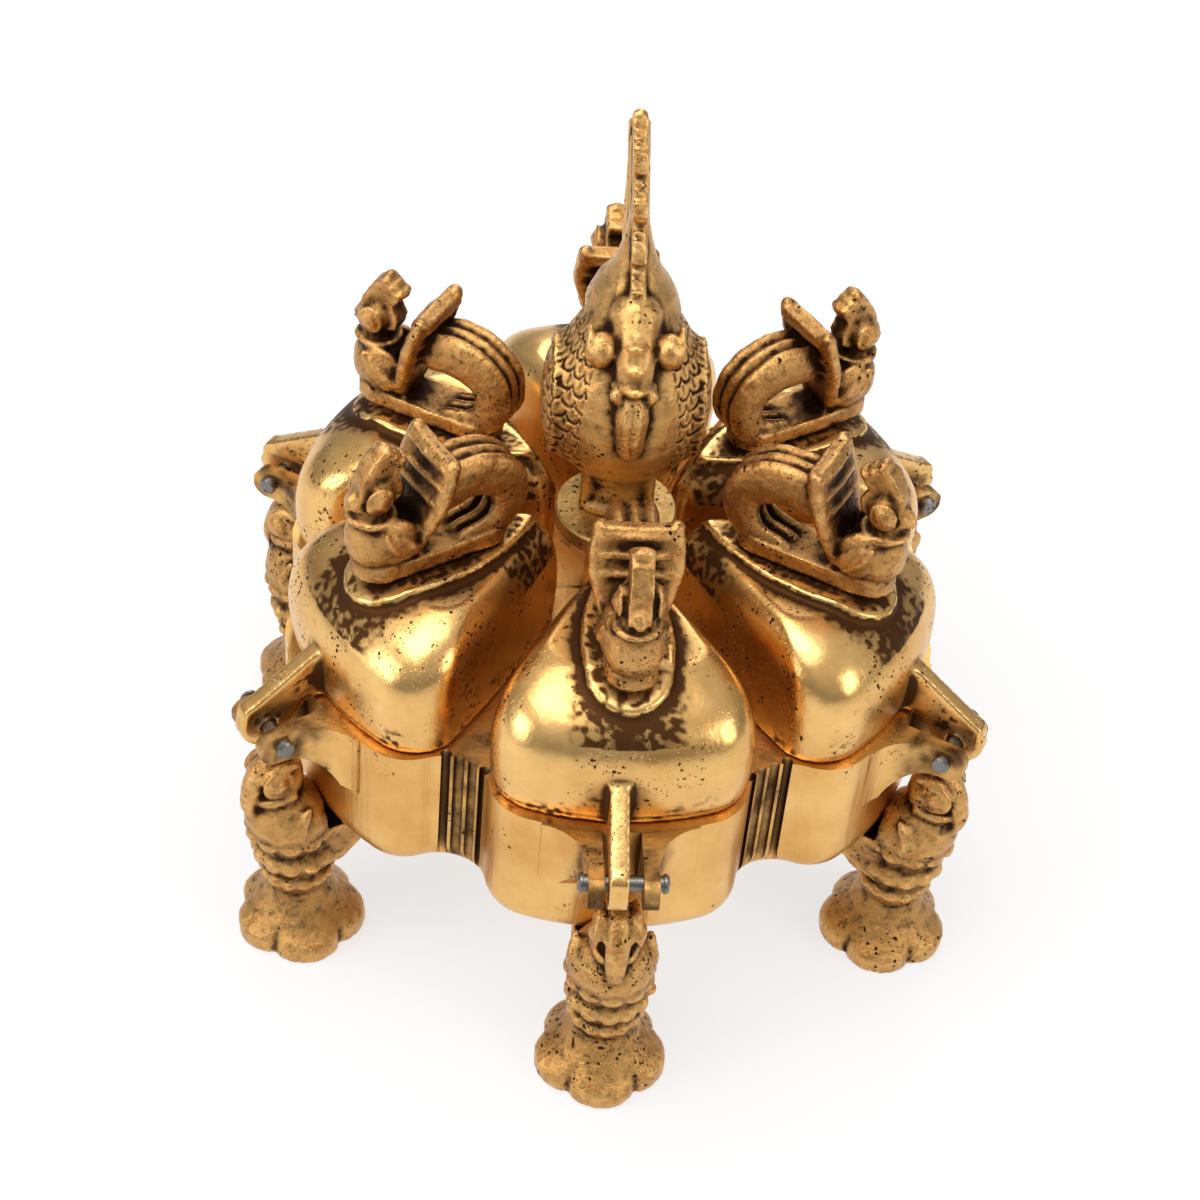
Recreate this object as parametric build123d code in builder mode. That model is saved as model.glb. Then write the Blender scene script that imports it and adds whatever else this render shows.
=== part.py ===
from build123d import *
from math import acos, atan2, cos, degrees, hypot, radians, sin
import os

# Sindoor box: a six-lobed brass tray on six cast legs, with six hinged petal lids,
# a bird on each lid and a peacock finial in the middle.
# Frame: origin on the floor under the middle, +Z up, the front lobe towards -Y. Millimetres.
# One lobe is drawn along +X, with u outwards and t sideways, and turned to its place.

LOBES = {
    "front": -90,
    "front_right": -30,
    "back_right": 30,
    "back": 90,
    "back_left": 150,
    "front_left": 210,
}
lobe_pitch = 360 / len(LOBES)

# Tray
base_z = 32.5
rim_z = 65.0
lobe_reach = 69.6
lobe_arc_r = 56.0
lobe_corner_r = 10.5
valley_reach = 59.6
valley_arc_r = 9.0
base_round = 7.0
rib_groove_r = 1.15
rib_groove_pitch = 2.9
rib_groove_count = 4
cup_wall = 3.2
cup_floor = 3.5
boss_r = 5.6
stud_r = 3.0
stud_clearance = 0.05

# Lids
seam_gap = 0.3
lid_set_back = 1.1
lid_wall = 2.4
lid_top_z = 91.6
lid_tip_u = 14.2
lid_tip_r = 4.4
lid_half_width = 25.6
lid_centre_u = 30.0
lid_levels = [(0.0, 0.972), (0.2, 1.0), (0.45, 1.0), (0.68, 0.955), (0.87, 0.83), (1.0, 0.60)]
leaf_rise = 1.7
leaf_outer_u = 62.0
leaf_inner_u = 19.0
leaf_half_width = 8.4

# Hinges
pin_u = 80.0
pin_z = 62.2
pin_r = 1.6
pin_running_clearance = 0.05
pin_head_r = 1.95
pin_head_length = 1.0
pin_proud = 1.9
lug_gap = 7.6
lug_thickness = 3.0
lug_nose_r = 4.5
lug_flare = 8.5
lug_drop = 15.0
tongue_thickness = 3.7
tongue_rise = 12.4
tongue_nose = 5.3
TONGUE_SHIFT = {"front": 1.2, "front_right": -1.0, "front_left": 1.0}

# Lid birds
bird_gap = 0.7
bird_slab_height = 3.6
bird_slab_width = 10.4
bird_outer_u = 61.0
bird_inner_u = 27.5
bird_chest_r = 5.6
bird_head_r = 4.6
bird_crest_z = 124.9
bird_head_u = 54.4
bird_loop_width = 9.0
bird_plate_width = 15.6
bird_plate_height = 23.0
bird_plate_thickness = 2.8
bird_plate_lean = 17.0
bird_tang_r = 2.2
bird_tang_head_r = 3.4
bird_tang_head_height = 1.2

# Peacock finial
disc_r = 12.6
disc_top_z = 88.0
disc_thickness = 3.6
post_width = 15.0
post_depth = 9.0
post_top_z = 99.0
body_centre_z = 117.5
body_centre_y = 3.0
body_half_height = 21.0
body_half_width = 16.6
wing_rise = 1.3
wing_half_length = 11.5
wing_half_height = 15.0
plume_top_z = 174.6
plume_tip_y = 12.0
plume_thickness = 4.0
plume_scallops = 4
plume_scallop_r = 4.6
nut_across_flats = 10.0
nut_height = 4.0

# Legs
foot_u = 73.0
foot_r = 13.9
foot_rim_height = 4.6
foot_toes = 5
foot_notch_r = 1.3
neck_r = 6.2
neck_z = 15.5
collar_r = 8.4
collar_bands = 3
collar_top_z = 42.0
leg_lean = 7.0
leg_head_r = 4.9
leg_head_u = 79.0
leg_head_z = 47.6
leg_beak_u = 83.6
leg_beak_z = 37.6
spur_width = 14.6
wall_fit = 0.03
spur_inner_u = 55.0
spur_root_z = 21.0
rivet_r = 2.0
rivet_clearance = 0.05
rivet_u = 59.5
rivet_head_r = 3.6
rivet_head_height = 1.5

arc_centre_u = lobe_reach - lobe_arc_r
tongue_top_z = rim_z + tongue_rise
bird_base_z = lid_top_z + leaf_rise + bird_gap
pin_half = lug_gap / 2 + lug_thickness + pin_proud
lid_base_z = rim_z + seam_gap
lid_height = lid_top_z - lid_base_z
tang_u = lid_centre_u + 13


def polar(radius, angle):
    return (radius * cos(radians(angle)), radius * sin(radians(angle)))


def corner_angle():
    """Direction, from the lobe arc's centre, in which the corner arc's centre lies."""
    vx, vy = polar(valley_reach + valley_arc_r, lobe_pitch / 2)
    span = hypot(vx - arc_centre_u, vy)
    bearing = degrees(atan2(vy, vx - arc_centre_u))
    arm = lobe_arc_r - lobe_corner_r
    reach = lobe_corner_r + valley_arc_r
    return bearing - degrees(acos((arm**2 + span**2 - reach**2) / (2 * arm * span)))


def corner_centre():
    angle = corner_angle()
    arm = lobe_arc_r - lobe_corner_r
    return (arc_centre_u + arm * cos(radians(angle)), arm * sin(radians(angle)))


def tray_outline():
    """The tray's plan: six outward arcs with rounded corners and hollow valleys between."""
    cu, ct = corner_centre()
    vx, vy = polar(valley_reach + valley_arc_r, lobe_pitch / 2)
    turn = atan2(vy - ct, vx - cu)
    start = corner_angle()
    points = {
        "crown": (lobe_reach, 0),
        "corner": (
            arc_centre_u + lobe_arc_r * cos(radians(start)),
            lobe_arc_r * sin(radians(start)),
        ),
        "corner_mid": (
            cu + lobe_corner_r * cos((radians(start) + turn) / 2),
            ct + lobe_corner_r * sin((radians(start) + turn) / 2),
        ),
        "hollow": (cu + lobe_corner_r * cos(turn), ct + lobe_corner_r * sin(turn)),
        "valley": polar(valley_reach, lobe_pitch / 2),
    }

    def turned(name, angle, side=1):
        x, y = points[name]
        y *= side
        c, s = cos(radians(angle)), sin(radians(angle))
        return (x * c - y * s, x * s + y * c)

    with BuildLine() as line:
        for a in LOBES.values():
            b = a + lobe_pitch
            ThreePointArc(turned("corner", a, -1), turned("crown", a), turned("corner", a))
            ThreePointArc(turned("corner", a), turned("corner_mid", a), turned("hollow", a))
            ThreePointArc(turned("hollow", a), turned("valley", a), turned("hollow", b, -1))
            ThreePointArc(
                turned("hollow", b, -1), turned("corner_mid", b, -1), turned("corner", b, -1)
            )
    return line.line


def petal_line(inset, scale=1.0):
    """A petal's closed plan line, drawn in by an inset and then scaled about the lid's middle."""
    cu, ct = corner_centre()
    outer_r = lobe_arc_r - inset
    corner_r = lobe_corner_r + lid_set_back - inset
    start = radians(corner_angle())
    flank = radians(102)
    tip_r = lid_tip_r + lid_set_back - inset
    tip_u = lid_tip_u - lid_set_back + inset + tip_r
    tip_turn = radians(118)
    half = lid_half_width + lid_set_back - inset
    arm = outer_r - corner_r

    def placed(u, t):
        return (lid_centre_u + (u - lid_centre_u) * scale, t * scale)

    kc = (arc_centre_u + arm * cos(start), half - corner_r)
    crown_end = (kc[0] + corner_r * cos(start), kc[1] + corner_r * sin(start))
    corner_mid = (
        kc[0] + corner_r * cos((start + flank) / 2),
        kc[1] + corner_r * sin((start + flank) / 2),
    )
    flank_start = (kc[0] + corner_r * cos(flank), kc[1] + corner_r * sin(flank))
    tip_end = (tip_u + tip_r * cos(tip_turn), tip_r * sin(tip_turn))
    mid = (
        (flank_start[0] + tip_end[0]) / 2 - 0.55,
        (flank_start[1] + tip_end[1]) / 2 + 0.85,
    )
    with BuildLine() as line:
        ThreePointArc(placed(crown_end[0], -crown_end[1]), placed(arc_centre_u + outer_r, 0),
                      placed(*crown_end))
        ThreePointArc(placed(*crown_end), placed(*corner_mid), placed(*flank_start))
        ThreePointArc(placed(*flank_start), placed(*mid), placed(*tip_end))
        ThreePointArc(placed(*tip_end), placed(tip_u - tip_r, 0), placed(tip_end[0], -tip_end[1]))
        ThreePointArc(placed(tip_end[0], -tip_end[1]), placed(mid[0], -mid[1]),
                      placed(flank_start[0], -flank_start[1]))
        ThreePointArc(placed(flank_start[0], -flank_start[1]),
                      placed(corner_mid[0], -corner_mid[1]), placed(crown_end[0], -crown_end[1]))
    return line.line


def petal_dome(inset, base, height):
    """A petal's domed form, lofted through its plan at each level."""
    with BuildPart() as dome:
        for share, scale in lid_levels:
            with BuildSketch(Plane.XY.offset(base + share * height)):
                add(petal_line(inset, scale))
                make_face()
        loft()
    return dome.part


def at_lobe(form, angle):
    return form.rotate(Axis.Z, angle)


def finish(piece, name):
    piece.part.label = name
    export_step(piece.part, f"parts/{name}.step")


os.makedirs("parts", exist_ok=True)

# Hinge lug, drawn once: its plan flares into the wall and its side view rounds the pin
with BuildPart() as lug:
    with BuildSketch(Plane.XY.offset(rim_z - lug_drop)):
        with BuildLine():
            inner_t = lug_gap / 2
            outer_t = inner_t + lug_thickness
            wall_u = lobe_reach - cup_wall
            nose_u = pin_u + lug_nose_r
            flare_t = outer_t + lug_flare
            Polyline((wall_u, flare_t), (wall_u, inner_t), (nose_u, inner_t), (nose_u, outer_t),
                     (pin_u - lug_nose_r / 2, outer_t))
            ThreePointArc((pin_u - lug_nose_r / 2, outer_t),
                          ((pin_u + lobe_reach) / 2 - 2.4, outer_t + lug_flare * 0.22),
                          (lobe_reach - 1.6, flare_t))
            Line((lobe_reach - 1.6, flare_t), (wall_u, flare_t))
        make_face()
    extrude(amount=lug_drop)
    with BuildSketch(Plane.XZ):
        with BuildLine():
            Polyline((wall_u, rim_z - lug_drop), (wall_u, rim_z), (pin_u + 1.5, rim_z - 0.4))
            ThreePointArc((pin_u + 1.5, rim_z - 0.4), (nose_u, pin_z), (pin_u + 1, pin_z - lug_nose_r))
            ThreePointArc((pin_u + 1, pin_z - lug_nose_r), (pin_u - 6.5, pin_z - lug_nose_r - 2.4),
                          (lobe_reach, rim_z - lug_drop))
            Line((lobe_reach, rim_z - lug_drop), (wall_u, rim_z - lug_drop))
        make_face()
    extrude(amount=flare_t, both=True, mode=Mode.INTERSECT)

# Tray: lobed wall, deck, six petal cups, ribbed valleys, twelve hinge lugs and the middle boss
with BuildPart() as body:
    with BuildSketch(Plane.XY.offset(base_z)):
        add(tray_outline())
        make_face()
    extrude(amount=rim_z - base_z)
    fillet(body.faces().sort_by(Axis.Z)[0].edges(), radius=base_round)
    with BuildSketch(Plane.XY.offset(base_z)):
        with PolarLocations(valley_reach + 0.4, len(LOBES), start_angle=0):
            with GridLocations(1, rib_groove_pitch, 1, rib_groove_count):
                Circle(rib_groove_r)
    extrude(amount=rim_z - base_z, mode=Mode.SUBTRACT)
    for angle in LOBES.values():
        add(at_lobe(lug.part, angle))
        add(at_lobe(mirror(lug.part, about=Plane.XZ, mode=Mode.PRIVATE), angle))
    for angle in LOBES.values():
        with BuildSketch(Plane.XY.offset(base_z + cup_floor)):
            add(petal_line(cup_wall).rotate(Axis.Z, angle))
            make_face()
        extrude(amount=rim_z - base_z - cup_floor, mode=Mode.SUBTRACT)
    with BuildSketch(Plane.XY.offset(base_z + cup_floor)):
        Circle(boss_r)
    extrude(amount=disc_top_z - disc_thickness - base_z - cup_floor)
    with BuildSketch(Plane.XY.offset(base_z)):
        Circle(stud_r + stud_clearance)
        with PolarLocations(rivet_u, len(LOBES), start_angle=lobe_pitch / 2 + 60):
            Circle(rivet_r + rivet_clearance)
    extrude(amount=disc_top_z - base_z, mode=Mode.SUBTRACT)
    for angle in LOBES.values():
        direction = Vector(*polar(1, angle + 90), 0)
        x, y = polar(pin_u, angle)
        bore = Plane(origin=(x, y, pin_z), z_dir=direction)
        with BuildSketch(bore):
            Circle(pin_r + pin_running_clearance)
        extrude(amount=pin_half, both=True, mode=Mode.SUBTRACT)
finish(body, "body")


# Leaf raised on a lid where the bird stands
with BuildPart() as leaf:
    add(petal_dome(lid_set_back, lid_base_z + leaf_rise, lid_height))
    with BuildSketch(Plane.XY.offset(lid_base_z + lid_height / 2)):
        with BuildLine():
            half = leaf_half_width
            shoulder_u = leaf_outer_u - half
            ThreePointArc((shoulder_u, -half), (leaf_outer_u, 0), (shoulder_u, half))
            ThreePointArc((shoulder_u, half), (bird_inner_u + 8, half * 0.93), (leaf_inner_u, 0))
            ThreePointArc((leaf_inner_u, 0), (bird_inner_u + 8, -half * 0.93), (shoulder_u, -half))
        make_face()
    extrude(amount=lid_height, mode=Mode.INTERSECT)

# Lid shell, drawn once: a hollow petal dome with its raised leaf
with BuildPart() as shell:
    add(petal_dome(lid_set_back, lid_base_z, lid_height))
    add(leaf.part)
    hollow = lid_set_back + lid_wall
    add(petal_dome(hollow, lid_base_z - seam_gap, lid_height + seam_gap - lid_wall), mode=Mode.SUBTRACT)
    with BuildSketch(Plane.XY.offset(lid_top_z - 3 * lid_wall)):
        with Locations((tang_u, 0)):
            Circle(bird_tang_r + rivet_clearance)
    extrude(amount=4 * lid_wall, mode=Mode.SUBTRACT)

# Hinge tongue, drawn once: a gusset from the lid's outer wall down to an eye round the pin
with BuildPart() as tongue:
    with BuildSketch(Plane.XZ):
        with BuildLine():
            root_u = lobe_reach - lid_set_back - lid_wall / 2
            Polyline((root_u, lid_base_z + 0.4), (root_u, tongue_top_z), (root_u + 1.6, tongue_top_z),
                     (pin_u + 3.2, pin_z + 6.4))
            ThreePointArc((pin_u + 3.2, pin_z + 6.4), (pin_u + 4.9, pin_z + 5.4),
                          (pin_u + tongue_nose, pin_z + 3.4))
            ThreePointArc((pin_u + tongue_nose, pin_z + 3.4), (pin_u + 4.6, pin_z - 2.6),
                          (pin_u + 0.6, pin_z - 4.6))
            Polyline((pin_u + 0.6, pin_z - 4.6), (pin_u - 2.8, pin_z - 3.2),
                     (lobe_reach + 2.2, lid_base_z + 0.4), (root_u, lid_base_z + 0.4))
        make_face()
        with Locations((pin_u, pin_z)):
            Circle(pin_r + pin_running_clearance, mode=Mode.SUBTRACT)
    extrude(amount=tongue_thickness / 2, both=True)

for where, angle in LOBES.items():
    with BuildPart() as lid:
        add(at_lobe(shell.part, angle))
        shift = TONGUE_SHIFT.get(where, 0)
        add(at_lobe(tongue.part.moved(Location((0, -shift, 0))), angle))
    finish(lid, f"lid_{where}")

# Hinge pin with a peened head at each end
with BuildPart() as pin:
    with BuildSketch(Plane.XZ.offset(-pin_half)):
        with Locations((pin_u, pin_z)):
            Circle(pin_r)
    extrude(amount=2 * pin_half)
    with BuildSketch(Plane.XZ.offset(pin_half - pin_head_length)):
        with Locations((pin_u, pin_z)):
            Circle(pin_head_r)
    extrude(amount=pin_head_length)
    with BuildSketch(Plane.XZ.offset(-pin_half)):
        with Locations((pin_u, pin_z)):
            Circle(pin_head_r)
    extrude(amount=pin_head_length)
    chamfer(pin.faces().sort_by(Axis.Y)[0].edges() + pin.faces().sort_by(Axis.Y)[-1].edges(), 0.4)
for where, angle in LOBES.items():
    with BuildPart() as hinge_pin:
        add(at_lobe(pin.part, angle))
    finish(hinge_pin, f"hinge_pin_{where}")

# Lid bird, drawn once, facing outwards: boat-shaped slab, chest, crested head,
# and a fluted tail that curls up from the inner end and forward to a shield plate
slab_top_z = bird_base_z + bird_slab_height
chest_u = bird_outer_u - bird_chest_r - 0.6
throat_z = bird_crest_z - 13.5
plate_low = Vector(bird_outer_u - 11.0, 0, bird_base_z + 4.6)
plate_up = Vector(-sin(radians(bird_plate_lean)), 0, cos(radians(bird_plate_lean)))
plate_top = plate_low + plate_up * bird_plate_height
plate_mid = plate_low + plate_up * (bird_plate_height / 2)
with BuildPart() as bird:
    with BuildSketch(Plane.XY.offset(bird_base_z)):
        with Locations(((bird_outer_u + bird_inner_u) / 2, 0)):
            SlotOverall(bird_outer_u - bird_inner_u, bird_slab_width)
    extrude(amount=bird_slab_height)
    chamfer(bird.faces().sort_by(Axis.Z)[-1].edges(), length=0.9)
    with BuildSketch(Plane.XZ):
        with BuildLine():
            Line((chest_u, slab_top_z - 2), (chest_u, throat_z + 1))
            ThreePointArc((chest_u, throat_z + 1), (chest_u + 3.0, throat_z - 0.6),
                          (chest_u + 3.6, throat_z - 3))
            ThreePointArc((chest_u + 3.6, throat_z - 3), (chest_u + bird_chest_r, slab_top_z + 5.6),
                          (chest_u + 3.4, slab_top_z - 0.5))
            Line((chest_u + 3.4, slab_top_z - 0.5), (chest_u, slab_top_z - 2))
        make_face()
    revolve(axis=Axis((chest_u, 0, 0), (0, 0, 1)))
    with BuildSketch(Plane.XZ):
        with BuildLine():
            Polyline((chest_u, slab_top_z - 1), (plate_low.X - 1, slab_top_z - 1),
                     (plate_low.X - 1.6, slab_top_z + 5.5), (chest_u - 1.5, throat_z + 0.5),
                     (chest_u, slab_top_z - 1))
        make_face()
    extrude(amount=3.4, both=True)
    with BuildSketch(Plane.XZ):
        with BuildLine():
            back = (bird_head_u - 3.6, throat_z - 0.5)
            crest = (bird_head_u, bird_crest_z)
            beak = (bird_head_u + 7.4, throat_z + 2.0)
            nape = (bird_head_u - 3.4, bird_crest_z - 3.4)
            Polyline((chest_u + 2.4, throat_z - 1.0), back, nape, crest)
            ThreePointArc(crest, (bird_head_u + 5.2, bird_crest_z - 4.6), (beak[0] - 0.6, beak[1] + 1.6))
            Polyline((beak[0] - 0.6, beak[1] + 1.6), beak, (bird_head_u + 4.2, throat_z + 0.6),
                     (chest_u + 2.4, throat_z - 1.0))
        make_face()
    extrude(amount=bird_head_r - 2.2, both=True)
    with Locations((bird_head_u + 2.6, bird_head_r - 2.4, throat_z + 3.4),
                   (bird_head_u + 2.6, 2.4 - bird_head_r, throat_z + 3.4)):
        Sphere(2.3)
    with BuildSketch(Plane.XZ):
        with BuildLine():
            tail_u = bird_inner_u - 3.6
            ThreePointArc((bird_inner_u + 6, bird_base_z + 0.2), (tail_u + 1.2, bird_base_z + 4.5),
                          (tail_u, bird_base_z + 11))
            ThreePointArc((tail_u, bird_base_z + 11), (tail_u + 4.0, bird_base_z + 19.5),
                          (tail_u + 11, bird_base_z + 23))
            ThreePointArc((tail_u + 11, bird_base_z + 23), (tail_u + 15, bird_base_z + 23.3),
                          (plate_mid.X, plate_mid.Z + 7.5))
            Line((plate_mid.X, plate_mid.Z + 7.5), (plate_mid.X, plate_mid.Z - 2.5))
            ThreePointArc((plate_mid.X, plate_mid.Z - 2.5), (tail_u + 13, bird_base_z + 12.6),
                          (tail_u + 8.6, bird_base_z + 8.2))
            ThreePointArc((tail_u + 8.6, bird_base_z + 8.2), (tail_u + 9.6, slab_top_z + 1.2),
                          (tail_u + 13, slab_top_z - 0.4))
            Polyline((tail_u + 13, slab_top_z - 0.4), (tail_u + 13, bird_base_z + 0.2),
                     (bird_inner_u + 6, bird_base_z + 0.2))
        make_face()
    extrude(amount=bird_loop_width / 2, both=True)
    with BuildSketch(Plane(origin=plate_mid, x_dir=(0, 1, 0), z_dir=plate_up.cross(Vector(0, -1, 0)))):
        with BuildLine():
            wide = bird_plate_width / 2
            tall = bird_plate_height / 2
            Polyline((-wide * 0.93, tall), (wide * 0.93, tall), (wide, tall * 0.15),
                     (wide * 0.5, -tall), (-wide * 0.5, -tall), (-wide, tall * 0.15),
                     (-wide * 0.93, tall))
        make_face()
    extrude(amount=bird_plate_thickness / 2, both=True)
    with BuildSketch(Plane.XY.offset(lid_top_z - lid_wall)):
        with Locations((tang_u, 0)):
            Circle(bird_tang_r)
    extrude(amount=bird_base_z + 1 - lid_top_z + lid_wall)
    with BuildSketch(Plane.XY.offset(lid_top_z - lid_wall - bird_tang_head_height)):
        with Locations((tang_u, 0)):
            Circle(bird_tang_head_r)
    extrude(amount=bird_tang_head_height)
for where, angle in LOBES.items():
    with BuildPart() as lid_bird:
        add(at_lobe(bird.part, angle))
    finish(lid_bird, f"lid_bird_{where}")

# Finial disc under the peacock, and the nut that holds its stud under the tray
with BuildPart() as finial_disc:
    with BuildSketch(Plane.XY.offset(disc_top_z - disc_thickness)):
        Circle(disc_r)
        Circle(stud_r + stud_clearance, mode=Mode.SUBTRACT)
    extrude(amount=disc_thickness)
    top_rings = finial_disc.edges().filter_by(GeomType.CIRCLE).group_by(Axis.Z)[-1]
    chamfer(top_rings.sort_by(SortBy.RADIUS)[-1], 0.5)
finish(finial_disc, "finial_disc")

with BuildPart() as finial_nut:
    with BuildSketch(Plane.XY.offset(base_z - nut_height)):
        RegularPolygon(nut_across_flats / 2, 6, major_radius=False)
        Circle(stud_r + stud_clearance, mode=Mode.SUBTRACT)
    extrude(amount=nut_height)
finish(finial_nut, "finial_nut")


def egg_line(rise):
    """Half of the peacock's egg-shaped body section, swollen by a rise, right of its axis."""
    top = body_centre_z + body_half_height + rise
    low = body_centre_z - body_half_height - rise
    girth = body_half_width + rise
    with BuildLine() as line:
        Line((0, low), (0, top))
        ThreePointArc((0, top), (girth * 0.60, top - 5.2), (girth * 0.93, body_centre_z + 5))
        ThreePointArc((girth * 0.93, body_centre_z + 5), (girth, body_centre_z - 3.5),
                      (girth * 0.86, body_centre_z - 11))
        ThreePointArc((girth * 0.86, body_centre_z - 11), (girth * 0.52, low + 3.4), (0, low))
    return line.line


# Peacock's wings: a swollen shell of the body, kept inside an oval on each side
with BuildPart() as wings:
    with BuildSketch(Plane.XZ.offset(-body_centre_y)):
        add(egg_line(wing_rise))
        make_face()
    revolve(axis=Axis((0, body_centre_y, 0), (0, 0, 1)))
    side = Plane(origin=(0, body_centre_y, body_centre_z - 3), x_dir=(0, 1, 0), z_dir=(1, 0, 0))
    with BuildSketch(side):
        Ellipse(wing_half_length, wing_half_height)
    extrude(amount=body_half_width * 2, both=True, mode=Mode.INTERSECT)

# Peacock, facing the front: post on the disc, egg-shaped body, two wings, bowed head
# with its crest, and a tall flat plume with a scalloped front edge and a long eye
with BuildPart() as peacock:
    with BuildSketch(Plane.XY.offset(disc_top_z)):
        Rectangle(post_width, post_depth)
    extrude(amount=post_top_z + 4 - disc_top_z)
    top_z = body_centre_z + body_half_height
    with BuildSketch(Plane.XZ.offset(-body_centre_y)):
        add(egg_line(0))
        make_face()
    revolve(axis=Axis((0, body_centre_y, 0), (0, 0, 1)))
    add(wings.part)
    with BuildSketch(Plane.YZ):
        with BuildLine():
            root_y = body_centre_y
            foot_z = body_centre_z + body_half_height * 0.55
            tip = (plume_tip_y, plume_top_z)
            pitch_z = (plume_top_z - 4 - (top_z - 1)) / plume_scallops
            front = [(root_y - 5 + 0.36 * k * pitch_z, top_z - 1 + k * pitch_z)
                     for k in range(plume_scallops + 1)]
            for low, high in zip(front, front[1:]):
                RadiusArc(low, high, plume_scallop_r * 1.6)
            ThreePointArc(front[-1], tip, (plume_tip_y + 5.5, plume_top_z - 4.5))
            Spline((plume_tip_y + 5.5, plume_top_z - 4.5), (root_y + 21, body_centre_z + 38),
                   (root_y + 22, body_centre_z + 26), (root_y + 12, foot_z))
            Polyline((root_y + 12, foot_z), (root_y - 5, foot_z), front[0])
        make_face()
        with BuildLine():
            eye_low = (root_y + 13.5, body_centre_z + 25)
            eye_high = (root_y + 12.2, plume_top_z - 12)
            ThreePointArc(eye_low, (root_y + 17.6, body_centre_z + 33), eye_high)
            ThreePointArc(eye_high, (root_y + 9.6, body_centre_z + 33), eye_low)
        make_face(mode=Mode.SUBTRACT)
    extrude(amount=plume_thickness / 2, both=True)
    with BuildSketch(Plane.YZ):
        with BuildLine():
            brow_y = body_centre_y - 15.5
            Polyline((body_centre_y, top_z + 1.5), (body_centre_y - 7, top_z + 1.5),
                     (brow_y + 3, top_z - 6.5), (brow_y - 2.6, top_z - 15), (brow_y - 4.6, top_z - 25),
                     (brow_y - 3.2, top_z - 26.5), (brow_y + 1.2, top_z - 21),
                     (body_centre_y - 4, body_centre_z - 4), (body_centre_y, top_z + 1.5))
        make_face()
    extrude(amount=3.6, both=True)
    with Locations((4.2, brow_y + 0.8, top_z - 13.5), (-4.2, brow_y + 0.8, top_z - 13.5)):
        Sphere(2.4)
    with Locations((8.2, body_centre_y - 10.2, top_z - 7.5), (-8.2, body_centre_y - 10.2, top_z - 7.5)):
        Sphere(4.0)
    with BuildSketch(Plane.XY.offset(base_z - nut_height - 1.5)):
        Circle(stud_r)
    extrude(amount=disc_top_z - base_z + nut_height + 1.5 + 2)
finish(peacock, "peacock")

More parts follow.
